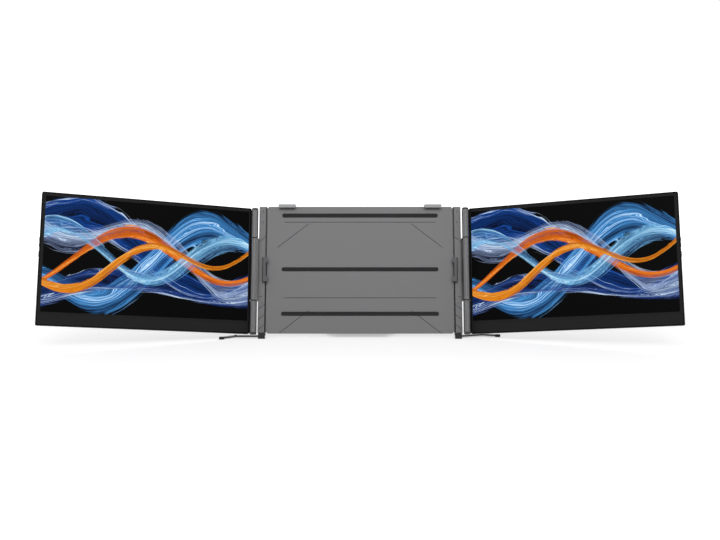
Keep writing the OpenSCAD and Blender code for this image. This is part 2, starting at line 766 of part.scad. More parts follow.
module left_slide_plate() { slide_plate(-1); }
module right_slide_plate() { slide_plate(1); }
module left_arm_front() { arm_front(-1); }
module right_arm_front() { arm_front(1); }
module left_arm_back() { arm_back(-1); }
module right_arm_back() { arm_back(1); }
module left_arm_screws() { arm_screws(-1); }
module right_arm_screws() { arm_screws(1); }
module left_jaw() { jaw(-1); }
module right_jaw() { jaw(1); }
module left_jaw_pad() { jaw_pad(-1); }
module right_jaw_pad() { jaw_pad(1); }
module left_hinge_block() { hinge_block(-1); }
module right_hinge_block() { hinge_block(1); }
module left_hinge_shaft() { hinge_shaft(-1); }
module right_hinge_shaft() { hinge_shaft(1); }
module left_foot() { foot(-1); }
module right_foot() { foot(1); }
module left_leg() { leg(-1); }
module right_leg() { leg(1); }
module left_leg_pin() { leg_pin(-1); }
module right_leg_pin() { leg_pin(1); }
module left_leg_tip() { leg_tip(-1); }
module right_leg_tip() { leg_tip(1); }

// Displays

// A round-ended bar across the display's side: length up the side, thickness through the display
module side_bar(x, z, w, t) {
  r = t / 2 - 0.02;
  translate([x[0], 0, 0]) rotate([90, 0, 90]) linear_extrude(x[1] - x[0])
    round_rect([-t / 2, t / 2], [z - w / 2, z + w / 2], r);
}

// Sockets, as heights and lengths
function sockets() = [[socket_z[0], socket_w], [socket_z[1], socket_w], [video_z, video_w]];

module back_cover(s) {
  f = face_y(s);
  x = [screen_in, screen_out];
  z = [screen_base, screen_top];
  y = [f + bezel_t, f + screen_t];
  color(gunmetal) screen_frame(s) difference() {
    union() {
      difference() {
        slab(x, y, z, screen_corner);
        back_bevels(x, y[1], z, cover_bevel);
        slab([x[0] + cover_wall, x[1] - cover_wall], [y[0] - 1, y[1] - cover_wall],
             [z[0] + cover_wall, z[1] - cover_wall], max(0.5, screen_corner - cover_wall));
      }
      for (sx = chin_screws) rod_y(sx, [y[0], y[1] - cover_wall + eps], chin_screw_z, screw_r + 1.2);
    }
    for (sx = chin_screws) screw_seat(sx, y[1], chin_screw_z, screen_t - bezel_t);
    // sockets, power button and rocker come through the outer side
    translate([0, f + control_y, 0]) {
      for (p = sockets()) side_bar([x[1] - cover_wall - 1, x[1] + 1], p[0], p[1] + 2 * slip, socket_t + 2 * slip);
      side_bar([x[1] - cover_wall - 1, x[1] + 1], power_z, button_w + 2 * slip, button_t + 2 * slip);
      side_bar([x[1] - cover_wall - 1, x[1] + 1], rocker_z, rocker_w + 2 * slip, button_t + 2 * slip);
    }
    // vents low on the back
    for (i = [0:13])
      slab([screen_in + screen_w / 2 - 66 + i * 10, screen_in + screen_w / 2 - 64.5 + i * 10],
           [y[1] - cover_wall - 1, y[1] + 1], [z[0] + 22, z[0] + 34], 0.7);
  }
}

module bezel(s) {
  f = face_y(s);
  color(near_black) screen_frame(s) difference() {
    slab([screen_in, screen_out], [f, f + bezel_t], [screen_base, screen_top], screen_corner);
    span([screen_in - 1, screen_out + 1], [f - 1, f + bezel_t + 1], [screen_base - 1, chin_top]);
    span(picture_x, [f - 1, f + bezel_t + 1], picture_z);
    span([picture_x[0] - panel_edge, picture_x[1] + panel_edge], [f + bezel_lip, f + bezel_t + 1],
         [picture_z[0] - panel_edge, picture_z[1] + panel_edge]);
  }
}

module chin(s) {
  f = face_y(s);
  color(dark_grey) screen_frame(s) intersection() {
    slab([screen_in, screen_out], [f, f + bezel_t], [screen_base, screen_top], screen_corner);
    span([screen_in, screen_out], [f, f + bezel_t], [screen_base, chin_top - chin_seam]);
  }
}

module panel(s) {
  f = face_y(s);
  color("navy") screen_frame(s)
    span([picture_x[0] - panel_edge, picture_x[1] + panel_edge], [f + bezel_lip, f + bezel_lip + panel_t],
         [picture_z[0] - panel_edge, picture_z[1] + panel_edge]);
}

module board(s) {
  f = face_y(s);
  y = [f + control_y - board_t / 2, f + control_y + board_t / 2];
  z = [screen_base + board_base, screen_base + board_base + board_h];
  behind = [y[0] + eps, f + screen_t - cover_wall - slip];
  color(board_green) screen_frame(s) difference() {
    union() {
      span([board_edge - board_w, board_edge], y, z);
      // driver chip, memory, connectors and a row of capacitors
      span([board_edge - board_w + 10, board_edge - board_w + 26], behind, [z[0] + 40, z[0] + 56]);
      span([board_edge - board_w + 12, board_edge - board_w + 22], behind, [z[0] + 68, z[0] + 80]);
      span([board_edge - board_w + 3, board_edge - board_w + 7], behind, [z[0] + 8, z[0] + 34]);
      for (i = [0:4])
        rod_y(board_edge - 34 + i * 6, behind, z[1] - 10, 2);
      // switches behind the power button and the rocker
      for (sz = [power_z, rocker_z - rocker_w / 4, rocker_z + rocker_w / 4])
        span([board_edge - 1, board_edge + 0.2], [y[0] - 0.6, y[1] + 0.6], [sz - 1.5, sz + 1.5]);
    }
    translate([0, f + control_y, 0])
      for (p = sockets()) side_bar([screen_out - socket_depth, screen_out], p[0], p[1], socket_t);
  }
}

module socket_set(s) {
  f = face_y(s);
  shell = 0.3;
  color(steel) screen_frame(s) translate([0, f + control_y, 0])
    for (p = sockets()) difference() {
      side_bar([screen_out - socket_depth, screen_out - 0.2], p[0], p[1], socket_t);
      difference() {
        side_bar([screen_out - socket_depth + 1, screen_out + 1], p[0], p[1] - 2 * shell, socket_t - 2 * shell);
        span([screen_out - socket_depth, screen_out - 1], [-0.35, 0.35],
             [p[0] - p[1] / 2 + 1.5, p[0] + p[1] / 2 - 1.5]);
      }
    }
}

// The leaf of each end barrel bears on the display's hinge side
module knuckle(s, base, h) {
  back = [hinge_gap(s), face_y(s) + screen_t - cover_bevel - 0.2];
  color(gunmetal) hinge_frame(s) translate([0, 0, base]) difference() {
    union() {
      barrel(h);
      linear_extrude(h) polygon([[0, 0], [hinge_gap(s), 0], back, leaf_root(back, 1)]);
    }
    translate([0, 0, -1]) cylinder(h = h + 2, r = shaft_r + shaft_gap);
  }
}

module cover_screws(s) {
  f = face_y(s);
  color(dark_grey) screen_frame(s)
    for (sx = chin_screws) screw(sx, f + screen_t, chin_screw_z, screen_t - bezel_t - 0.5);
}

module power_button(s) {
  f = face_y(s);
  color(dark_grey) screen_frame(s) translate([0, f + control_y, 0]) {
    side_bar([flange_in, screen_out + button_rise], power_z, button_w, button_t);
    side_bar([flange_in, flange_in + flange_t], power_z, button_w + 1.6, button_t + 0.6);
    span([flange_in - stem_nub, flange_in + eps], [-0.8, 0.8], [power_z - 1, power_z + 1]);
  }
}

module rocker(s) {
  f = face_y(s);
  color(dark_grey) screen_frame(s) translate([0, f + control_y, 0]) difference() {
    union() {
      side_bar([flange_in, screen_out + button_rise], rocker_z, rocker_w, button_t);
      side_bar([flange_in, flange_in + flange_t - 0.4], rocker_z, rocker_w + 1.6, button_t + 0.6);
      // it tilts on a small pivot behind the wall
      rod_y(rocker_pivot, [-control_room, control_room], rocker_z, rocker_pin_r);
    }
    // thumb dip in the middle
    translate([screen_out + button_rise + 7.6, -2, rocker_z]) rotate([-90, 0, 0]) cylinder(h = 4, r = 8);
  }
}

module left_back_cover() { back_cover(-1); }
module right_back_cover() { back_cover(1); }
module left_bezel() { bezel(-1); }
module right_bezel() { bezel(1); }
module left_chin() { chin(-1); }
module right_chin() { chin(1); }
module left_panel() { panel(-1); }
module right_panel() { panel(1); }
module left_board() { board(-1); }
module right_board() { board(1); }
module left_sockets() { socket_set(-1); }
module right_sockets() { socket_set(1); }
module left_upper_knuckle() { knuckle(-1, top_barrel_base, top_barrel_h); }
module right_upper_knuckle() { knuckle(1, top_barrel_base, top_barrel_h); }
module left_lower_knuckle() { knuckle(-1, low_barrel_base, low_barrel_h); }
module right_lower_knuckle() { knuckle(1, low_barrel_base, low_barrel_h); }
module left_cover_screws() { cover_screws(-1); }
module right_cover_screws() { cover_screws(1); }
module left_power_button() { power_button(-1); }
module right_power_button() { power_button(1); }
module left_rocker() { rocker(-1); }
module right_rocker() { rocker(1); }

centre_front_plate();
centre_back_cover();
guide_rails();
lid_pads();
centre_screws();
left_return_spring();
right_return_spring();
left_top_hook();
right_top_hook();
kickstand();
kickstand_pin();
kickstand_tip();
left_slide_plate();
left_arm_front();
left_arm_back();
left_jaw();
left_jaw_pad();
left_hinge_block();
left_hinge_shaft();
left_arm_screws();
left_foot();
left_leg();
left_leg_pin();
left_leg_tip();
right_slide_plate();
right_arm_front();
right_arm_back();
right_jaw();
right_jaw_pad();
right_hinge_block();
right_hinge_shaft();
right_arm_screws();
right_foot();
right_leg();
right_leg_pin();
right_leg_tip();
left_back_cover();
left_bezel();
left_chin();
left_panel();
left_board();
left_sockets();
left_upper_knuckle();
left_lower_knuckle();
left_cover_screws();
left_power_button();
left_rocker();
right_back_cover();
right_bezel();
right_chin();
right_panel();
right_board();
right_sockets();
right_upper_knuckle();
right_lower_knuckle();
right_cover_screws();
right_power_button();
right_rocker();
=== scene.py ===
# Laptop screen extender, dressed for the studio: a frame that grips a laptop's lid, and a hinged display each side.
# Lengths are metres in the frame's own axes: +X right, +Y away from the front, +Z up from the desk.

import json
import math

import bmesh
import bpy
import numpy as np
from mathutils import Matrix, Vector


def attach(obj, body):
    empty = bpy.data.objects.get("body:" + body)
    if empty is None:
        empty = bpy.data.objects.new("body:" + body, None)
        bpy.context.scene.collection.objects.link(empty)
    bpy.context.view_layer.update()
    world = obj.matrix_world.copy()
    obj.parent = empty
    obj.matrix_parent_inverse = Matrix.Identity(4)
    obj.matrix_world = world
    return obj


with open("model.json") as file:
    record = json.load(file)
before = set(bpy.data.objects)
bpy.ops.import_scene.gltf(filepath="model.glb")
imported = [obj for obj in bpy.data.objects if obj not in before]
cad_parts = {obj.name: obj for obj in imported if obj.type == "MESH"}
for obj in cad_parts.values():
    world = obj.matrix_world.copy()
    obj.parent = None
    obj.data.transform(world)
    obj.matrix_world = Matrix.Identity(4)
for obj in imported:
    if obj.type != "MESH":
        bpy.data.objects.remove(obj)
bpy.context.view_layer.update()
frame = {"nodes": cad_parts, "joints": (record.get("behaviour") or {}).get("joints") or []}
nodes = frame["nodes"]
joints = {joint["name"]: joint for joint in frame["joints"]}
MM = 0.001
SIDES = ("left", "right")

# --- Camera -------------------------------------------------------------------------------------------------
# Straight on and a little above, as the object was photographed. The lens is a moderate telephoto, 1.8 m from the
# middle of the frame.
camera_far = 1.807
camera_elevation = math.radians(7.0)
camera_aim = Vector((0.0, 0.0, 0.1183))
focal_px, picture_px, sensor_mm = 1052.0, 720.0, 36.0

camera = bpy.data.objects.new("camera", bpy.data.cameras.new("camera"))
bpy.context.scene.collection.objects.link(camera)
camera.data.sensor_width = sensor_mm
camera.data.lens = focal_px / picture_px * sensor_mm
camera.location = camera_aim + camera_far * Vector((0, -math.cos(camera_elevation), math.sin(camera_elevation)))
camera.rotation_euler = (math.pi / 2 - camera_elevation, 0, 0)
bpy.context.scene.camera = camera
bpy.context.scene.view_settings.view_transform = "Standard"


# --- Frame shells -------------------------------------------------------------------------------------------
# The front plate, the back cover and the two halves of each arm are aluminium, bead-blasted and anodised gunmetal.
# The blasting leaves an even fine grain, and the dye lies a little cloudy. The cut lines carry painted shade: the
# faces in them are coloured dark, as shade would fall in the grooves.
class Value:
    """A number in a shader. Each operator used on it adds a Math node."""

    def __init__(self, finish, socket):
        self.finish, self.socket = finish, socket

    def math(self, operation, *values):
        return self.finish.node("ShaderNodeMath", {"operation": operation}, list(values))

    def __add__(self, other):
        return self.math("ADD", self, other)

    def __sub__(self, other):
        return self.math("SUBTRACT", self, other)

    def __rsub__(self, other):
        return self.math("SUBTRACT", other, self)

    def __mul__(self, other):
        return self.math("MULTIPLY", self, other)

    def __truediv__(self, other):
        return self.math("DIVIDE", self, other)

    __radd__, __rmul__ = __add__, __mul__

    def sine(self):
        return self.math("SINE", self)

    def size(self):
        return self.math("ABSOLUTE", self)

    def step(self, low, high):
        """0 below low, 1 above high, and smooth between."""
        return self.finish.node("ShaderNodeMapRange", {"interpolation_type": "SMOOTHSTEP"},
                                {"Value": self, "From Min": low, "From Max": high})


class Finish:
    """A material: its Principled shader, and one method that adds any other node."""

    def __init__(self, name):
        self.material = bpy.data.materials.new(name)
        self.material.use_nodes = True
        self.tree = self.material.node_tree
        self.shader = self.tree.nodes["Principled BSDF"]

    def node(self, kind, settings=None, inputs=None, out=0):
        """Adds a node: its settings come first, then the values or links of its sockets. Gives one of its outputs."""
        made = self.tree.nodes.new(kind)
        for key, value in (settings or {}).items():
            setattr(made, key, value)
        pairs = enumerate(inputs) if isinstance(inputs, list) else (inputs or {}).items()
        for key, value in pairs:
            self.feed(made.inputs[key], value)
        return Value(self, made.outputs[out])

    def feed(self, socket, value):
        """Links a value to a socket, or sets the socket to a number, vector or colour."""
        if isinstance(value, Value):
            self.tree.links.new(value.socket, socket)
        elif socket.type == "RGBA":
            socket.default_value = (*value, 1.0)
        else:
            socket.default_value = value

    def put(self, **sockets):
        """Feeds the shader's own sockets; an underscore stands for a space."""
        for key, value in sockets.items():
            self.feed(self.shader.inputs[key.replace("_", " ")], value)
        return self

    def place(self):
        """Object coordinates, in metres."""
        return self.node("ShaderNodeTexCoord", out="Object")

    def stretched(self, scale):
        """Object coordinates, scaled by a different amount along each axis."""
        return self.node("ShaderNodeMapping", {}, {"Vector": self.place(), "Scale": scale})

    def facing(self, vector, direction):
        """The share of a vector that lies along a direction."""
        return self.node("ShaderNodeVectorMath", {"operation": "DOT_PRODUCT"}, [vector, tuple(direction)], "Value")

    def along(self, direction, origin=(0, 0, 0)):
        """Distance from origin along a direction, in metres."""
        moved = self.node("ShaderNodeVectorMath", {"operation": "SUBTRACT"}, [self.place(), tuple(origin)])
        return self.facing(moved, direction)

    def noise(self, where, scale, detail=2.0, rough=0.5):
        return self.node("ShaderNodeTexNoise", {}, {
            "Vector": where, "Scale": scale, "Detail": detail, "Roughness": rough})

    def mix(self, amount, a, b):
        """Colour a where amount is 0, and b where it is 1. A Mix node keeps its colour sockets at 6 and 7."""
        made = self.tree.nodes.new("ShaderNodeMix")
        made.data_type = "RGBA"
        for socket, value in zip((made.inputs[0], made.inputs[6], made.inputs[7]), (amount, a, b)):
            self.feed(socket, value)
        return Value(self, made.outputs[2])

    def bump(self, height, depth, strength):
        return self.node("ShaderNodeBump", {}, {"Height": height, "Distance": depth, "Strength": strength})


def shade(red, green, blue):
    """A linear colour from the levels, 0 to 255, that it shows on a screen: a power curve, straight near black."""
    straight_to, straight_part = 10, 3295
    return tuple(level / straight_part if level <= straight_to else ((level / 255 + 0.055) / 1.055) ** 2.4
                 for level in (red, green, blue))


def dress(finish, *names):
    """Gives CAD nodes their finish."""
    for name in names:
        nodes[name].data.materials.clear()
        nodes[name].data.materials.append(finish.material)


def both(*names):
    """The left-hand and the right-hand node of each name."""
    return [f"{side}_{name}" for side in SIDES for name in names]


up = Vector(joints["left_hook_slide"]["axis"]).normalized()
side_way = Vector((1.0, 0.0, 0.0))
back = up.cross(side_way)
frame_axes = (side_way, back, up)


def blasted(name, dark, light, metallic=0.6, rough=0.38, groove_shade_colour=None):
    """Bead-blasted, anodised metal: a fine even grain in colour, gloss and relief, and a slow cloudiness.

    The colour given for cut lines is painted shade, put wherever a face looks forwards from behind the front plane.
    """
    grain_scale, cloud_scale, rub_scale = 2600.0, 11.0, (14.0, 14.0, 160.0)
    cut_from, cut_to, cut_facing, cut_gloss = 0.1 * MM, 0.2 * MM, (0.9, 0.95), 0.3
    finish = Finish(name)
    grain = finish.noise(finish.place(), grain_scale, 2.0, 0.6)
    cloud = finish.noise(finish.place(), cloud_scale, 3.0)
    rub = finish.noise(finish.stretched(rub_scale), 1.0, 3.0, 0.6).step(0.55, 0.8)
    tone = finish.mix(grain * 0.7 + cloud * 0.3, dark, light)
    gloss = rough + grain * 0.1 + cloud * 0.06 - rub * 0.05
    metal = metallic
    if groove_shade_colour:
        normal = finish.node("ShaderNodeTexCoord", out="Normal")
        # Painted shade: faces at the bottom of the cut lines take the dark colour, less metallic and rougher.
        groove_shade_share = finish.facing(normal, -back).step(*cut_facing) * finish.along(back).step(cut_from, cut_to)
        tone = finish.mix(groove_shade_share, tone, groove_shade_colour)
        gloss = gloss + groove_shade_share * cut_gloss
        metal = (1.0 - groove_shade_share) * metallic
    return finish.put(Base_Color=tone, Metallic=metal, Roughness=gloss, Normal=finish.bump(grain, 0.02 * MM, 0.5))


# The frame's cut lines get painted shade, in dark grey.
gunmetal = blasted("gunmetal_anodised", shade(94, 94, 95), shade(114, 114, 115), groove_shade_colour=shade(30, 30, 31))
dress(gunmetal, "centre_front_plate", "centre_back_cover", *both("arm_front", "arm_back"))


# --- Guide rails, slide plates and return springs -----------------------------------------------------------
# Natural nylon rails with a dry, slightly mottled surface guide two plates punched from bright aluminium sheet.
# The sheet keeps the long straight grain of the rolling mill. Springs of bright drawn wire pull the plates in.
def moulded(name, colour, rough, pebble=3200.0, depth=0.02 * MM, gloss=0.5, rim=None):
    """Moulded plastic with a spark-eroded surface: tiny pebbles, and slow changes of gloss.

    rim is a function that gives the share of black at each place.
    """
    sheen_scale, deepest, rim_black = 35.0, 0.8, shade(6, 6, 7)
    finish = Finish(name)
    skin = finish.noise(finish.place(), pebble, 3.0, 0.6)
    sheen = finish.noise(finish.place(), sheen_scale, 2.0)
    deep = tuple(channel * deepest for channel in colour)
    tone = finish.mix(skin * 0.6 + sheen * 0.4, deep, colour)
    if rim:
        tone = finish.mix(rim(finish), tone, rim_black)
    return finish.put(Base_Color=tone, Specular_IOR_Level=gloss,
                      Roughness=rough + skin * 0.12 + sheen * 0.08, Normal=finish.bump(skin, depth, 0.6))


def drawn(name, dark, light, scale, rough=0.28):
    """Bright metal with fine lines; scale is the noise's along each axis, small along the lines."""
    finish = Finish(name)
    lines = finish.noise(finish.stretched(scale), 1.0, 4.0, 0.7)
    return finish.put(Base_Color=finish.mix(lines, dark, light), Metallic=1.0, Roughness=rough + lines * 0.15,
                      Normal=finish.bump(lines, 0.01 * MM, 0.4))


nylon = moulded("nylon_natural", shade(226, 223, 214), rough=0.45)
plate_metal = drawn("plate_rolled", shade(132, 134, 138), shade(164, 166, 170), (25.0, 2500.0, 2500.0))
spring_wire = drawn("spring_wire", shade(150, 152, 156), shade(205, 207, 210), (900.0, 900.0, 900.0), rough=0.2)
dress(nylon, "guide_rails")
dress(plate_metal, *both("slide_plate"))
dress(spring_wire, *both("return_spring"))

# --- Screws and pins ----------------------------------------------------------------------------------------
# Countersunk screws with six-sided sockets, blackened in a hot oxide bath, hold the shells together. The pins of the
# kickstand and legs are ground steel, with the fine rings that the wheel leaves round them.
screw_black = drawn("screw_black_oxide", shade(28, 28, 30), shade(52, 52, 55), (1500.0, 1500.0, 1500.0), rough=0.3)
pin_steel = drawn("pin_ground", shade(160, 162, 166), shade(208, 210, 214), (4200.0, 60.0, 60.0), rough=0.2)
dress(screw_black, "centre_screws", *both("arm_screws", "cover_screws"))
dress(pin_steel, "kickstand_pin", *both("leg_pin"))


# --- Rubber -------------------------------------------------------------------------------------------------
# Strips that the lid lies on, linings of the jaws, and tips of the kickstand and legs: soft black rubber, matt, with
# a fine moulded ribbing across the strips and a trace of pale dust.
def rubber(name, ribs=None, dark=shade(27, 27, 29), dusty=shade(70, 70, 72)):
    """Matt black rubber; ribs is a direction across which it is ribbed."""
    crumb_scale, dust_scale, dust_most, rib_pitch = 1500.0, 60.0, 0.25, 1.4 * MM
    finish = Finish(name)
    crumb = finish.noise(finish.place(), crumb_scale, 3.0, 0.7)
    dust = finish.noise(finish.place(), dust_scale, 4.0, 0.7).step(0.5, 0.85)
    relief = crumb * 0.4
    if ribs:
        relief = relief + (finish.along(ribs) * (2 * math.pi / rib_pitch)).sine() * 0.8
    return finish.put(Base_Color=finish.mix(dust * dust_most, dark, dusty),
                      Roughness=0.72 + crumb * 0.12, Specular_IOR_Level=0.35,
                      Normal=finish.bump(relief, 0.06 * MM, 0.7))


strip_rubber = rubber("rubber_ribbed", ribs=(1.0, 0.0, 0.0))
tip_rubber = rubber("rubber_plain")
# The grey of the upper edge strips is painted shade, a little lighter than the black strips below the jaws.
shade_grey_rubber = rubber("rubber_shade_grey", dark=shade(62, 62, 64), dusty=shade(96, 96, 98))
dress(strip_rubber, "lid_pads")
dress(tip_rubber, "kickstand_tip", *both("jaw_pad", "leg_tip"))

# --- Top hooks ----------------------------------------------------------------------------------------------
# Light grey mouldings that pull up out of the frame, to hook over a taller lid. They are glossier than the feet,
# because hands and lids polish them.
hook_plastic = moulded("hook_grey", shade(180, 181, 183), rough=0.42, pebble=2600.0, gloss=0.3)
dress(hook_plastic, *both("top_hook"))

# --- Kickstand ----------------------------------------------------------------------------------------------
# One flared plate of the frame's own metal, rolled round its pin. It is a shade darker than the frame, because it
# was dyed apart.
kick_metal = blasted("kickstand_anodised", shade(86, 86, 87), shade(106, 106, 107))
dress(kick_metal, "kickstand")


# --- Arms: jaws and dark edge strips ------------------------------------------------------------------------
# Each jaw is a dark satin die-casting whose two prongs reach over the lid's edge. A slim half-round bead runs up the
# inner edge of the arm as painted shade, for the shadow beside the lid's edge: black below the jaw, dark grey above.
def reach(name, origin=(0, 0, 0), axes=frame_axes):
    """Lowest and highest corner of a CAD node along three directions, from an origin."""
    points = np.empty(len(nodes[name].data.vertices) * 3, np.float32)
    nodes[name].data.vertices.foreach_get("co", points)
    local = (points.reshape(-1, 3) - np.array(origin)) @ np.array([list(a) for a in axes]).T
    return local.min(0), local.max(0)


def laid(local, origin=(0, 0, 0), axes=frame_axes):
    """Points given along three directions from an origin, as points of the whole model."""
    return np.asarray(local) @ np.array([list(a) for a in axes]) + np.array(origin)


def loft(name, rings, finish, body, loop=False):
    """A closed skin through rings of points, each ring joined to the next and, unless it loops, capped at both ends.

    rings is an array: ring, point round the ring, coordinate. Edges that turn by more than crease stay sharp.
    """
    crease = 0.7
    count, around, _ = rings.shape
    index = np.arange(count * around).reshape(count, around)
    here, ahead = (index, np.roll(index, -1, 0)) if loop else (index[:-1], index[1:])
    quads = np.stack([here, np.roll(here, -1, 1), np.roll(ahead, -1, 1), ahead], -1).reshape(-1, 4)
    caps = [] if loop else [index[0, ::-1].tolist(), index[-1].tolist()]
    mesh = bpy.data.meshes.new(name)
    mesh.from_pydata(rings.reshape(-1, 3).tolist(), [], quads.tolist() + caps)
    shell = bmesh.new()
    shell.from_mesh(mesh)
    if shell.calc_volume(signed=True) < 0:
        bmesh.ops.reverse_faces(shell, faces=shell.faces)
    shell.to_mesh(mesh)
    shell.free()
    mesh.shade_smooth()
    mesh.set_sharp_from_angle(angle=crease)
    mesh.materials.append(finish.material)
    piece = bpy.data.objects.new(name, mesh)
    bpy.context.scene.collection.objects.link(piece)
    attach(piece, body)
    return piece


jaw_metal = blasted("jaw_satin", shade(64, 64, 66), shade(84, 84, 87), metallic=0.45, rough=0.34)
dress(jaw_metal, *both("jaw"))

# Sizes of the dark edge strips, which are painted shade.
shade_strip_w, shade_strip_rise, shade_strip_fullness, shade_strip_sunk = 2.3 * MM, 0.35 * MM, 0.6, 0.02 * MM
shade_strip_inset, shade_strip_end, shade_strip_margin, jaw_clear = 0.15 * MM, 1.2 * MM, 1.5 * MM, 0.4 * MM
shade_strip_around, shade_strip_along, shade_strip_least = 20, 14, 0.02


def shade_strip(name, side, low, high, finish):
    """A half-round bead: an ellipse's upper half, a little fuller, carried up the arm.

    Over shade_strip_end it draws in towards each end as a quarter circle does.
    """
    outward = side_way if side == "right" else -side_way
    axes = (outward, back, up)
    inner_edge = reach(f"{side}_arm_front", axes=axes)[0][0]
    middle = inner_edge + shade_strip_inset + shade_strip_w / 2
    angle = np.linspace(0, math.pi, shade_strip_around)
    across = np.concatenate([shade_strip_w / 2 * np.cos(angle), [-shade_strip_w / 2, shade_strip_w / 2]])
    proud = np.concatenate([shade_strip_rise * np.sin(angle) ** shade_strip_fullness, [-shade_strip_sunk, -shade_strip_sunk]])
    from_end = np.linspace(0, 1, shade_strip_along) ** 2 * shade_strip_end
    heights = np.concatenate([low + from_end, high - from_end[::-1]])
    way_in = np.minimum(heights - low, high - heights) / shade_strip_end
    drawn_in = np.sqrt(np.clip(1 - (1 - way_in) ** 2, shade_strip_least, 1))[:, None]
    local = np.stack(np.broadcast_arrays(middle + drawn_in * across, -drawn_in * proud, heights[:, None]), -1)
    return loft(name, laid(local, axes=axes), finish, f"{side}_arm")


# Each arm gets two strips of painted shade: black rubber below the jaw, and the grey one above it.
for side in SIDES:
    arm_low, arm_high = reach(f"{side}_arm_front")
    jaw_low, jaw_high = reach(f"{side}_jaw")
    shade_strip(f"{side}_lower_shade_strip", side, arm_low[2] + shade_strip_margin, jaw_low[2] - jaw_clear, tip_rubber)
    shade_strip(f"{side}_upper_shade_strip", side, jaw_high[2] + jaw_clear, arm_high[2] - shade_strip_margin, shade_grey_rubber)

# --- Hinges -------------------------------------------------------------------------------------------------
# Long die-cast barrels, linished lengthwise to satin gunmetal, turn on one steel shaft. Black nylon washers fill
# the gaps between barrels, and dark caps close the ends. A thin black band bent round each middle barrel, where it
# faces the display, is painted shade for the dark gap between the barrel and the display.
linish_scale, hinge_cloud_scale = (1500.0, 1500.0, 18.0), 20.0
hinge_metal = Finish("hinge_satin")
linish = hinge_metal.noise(hinge_metal.stretched(linish_scale), 1.0, 3.0, 0.6)
hinge_cloud = hinge_metal.noise(hinge_metal.place(), hinge_cloud_scale, 2.0)
hinge_metal.put(
    Base_Color=hinge_metal.mix(linish * 0.7 + hinge_cloud * 0.3, shade(88, 88, 89), shade(112, 112, 113)),
    Metallic=0.7, Roughness=0.31 + linish * 0.12 + hinge_cloud * 0.05,
    Normal=hinge_metal.bump(linish, 0.01 * MM, 0.5))
cap_black = moulded("cap_dark", shade(44, 44, 46), rough=0.36, pebble=2400.0)
washer_nylon = moulded("washer_black", shade(30, 30, 32), rough=0.5)
dress(hinge_metal, *both("hinge_block", "upper_knuckle", "lower_knuckle"))
dress(cap_black, *both("hinge_shaft"))

washer_out, washer_in, washer_slack, washer_ease, washer_around = 5.75 * MM, 2.62 * MM, 0.04 * MM, 0.08 * MM, 64
# Size and place of the black band that stands for the shade in the gap beside each display.
shade_band_from, shade_band_to, shade_band_across = math.radians(44), math.radians(100), 15
shade_band_t, shade_band_sunk, shade_band_margin, shade_band_flatness = 0.15 * MM, 0.1 * MM, 0.9 * MM, 6


def hinge_foot(side):
    """The point on the hinge axis whose distance up the frame is zero."""
    on_axis = Vector(joints[f"{side}_display_hinge"]["pos_m"])
    return on_axis - up * on_axis.dot(up)


def washer(name, side, low, high):
    """A ring turned about the hinge axis: its section is a rectangle with eased outer corners."""
    section = np.array([
        (washer_in, low), (washer_out - washer_ease, low), (washer_out, low + washer_ease),
        (washer_out, high - washer_ease), (washer_out - washer_ease, high), (washer_in, high)])
    turn = np.linspace(0, 2 * math.pi, washer_around, endpoint=False)[:, None]
    local = np.stack(np.broadcast_arrays(
        section[:, 0] * np.cos(turn), section[:, 0] * np.sin(turn), section[:, 1]), -1)
    return loft(name, laid(local, hinge_foot(side)), washer_nylon, f"{side}_arm", loop=True)


def shade_band(name, side, block_low, block_high):
    """A band bent round the barrel: an arc about the hinge axis, thickest in the middle, carried up the barrel."""
    outward = 1 if side == "right" else -1
    foot = hinge_foot(side)
    barrel = foot.dot(back) - block_low[1]
    arc = np.linspace(shade_band_from, shade_band_to, shade_band_across)
    skin = barrel + shade_band_t * (1 - np.linspace(-1, 1, shade_band_across) ** shade_band_flatness)
    turn = np.concatenate([arc, arc[::-1]])
    radius = np.concatenate([skin, np.full(shade_band_across, barrel - shade_band_sunk)])
    heights = np.array([[block_low[2] + shade_band_margin], [block_high[2] - shade_band_margin]])
    local = np.stack(np.broadcast_arrays(outward * radius * np.sin(turn), -radius * np.cos(turn), heights), -1)
    return loft(name, laid(local, foot), tip_rubber, f"{side}_arm")


for side in SIDES:
    block_low, block_high = reach(f"{side}_hinge_block")
    upper_end, lower_end = reach(f"{side}_upper_knuckle")[0][2], reach(f"{side}_lower_knuckle")[1][2]
    washer(f"{side}_upper_washer", side, block_high[2] + washer_slack, upper_end - washer_slack)
    washer(f"{side}_lower_washer", side, lower_end + washer_slack, block_low[2] - washer_slack)
    # The band is painted shade, in the black of the tip rubber.
    shade_band(f"{side}_hinge_shade_band", side, block_low, block_high)

# --- Feet and legs ------------------------------------------------------------------------------------------
# Black moulded feet close the arms at the desk. The legs are bent flats of steel, powder-coated black, with the
# faint dimpling that such a coat dries with.
foot_plastic = moulded("foot_black", shade(26, 26, 27), rough=0.5, pebble=2200.0, depth=0.03 * MM, gloss=0.35)
dress(foot_plastic, *both("foot"))

dimple_scale = 1100.0
leg_coat = Finish("leg_powder_coat")
dimples = leg_coat.noise(leg_coat.place(), dimple_scale, 2.0, 0.4)
leg_coat.put(Base_Color=leg_coat.mix(dimples, shade(20, 20, 21), shade(32, 32, 33)), Roughness=0.36 + dimples * 0.12,
             Specular_IOR_Level=0.4, Normal=leg_coat.bump(dimples, 0.04 * MM, 0.8))
dress(leg_coat, *both("leg"))

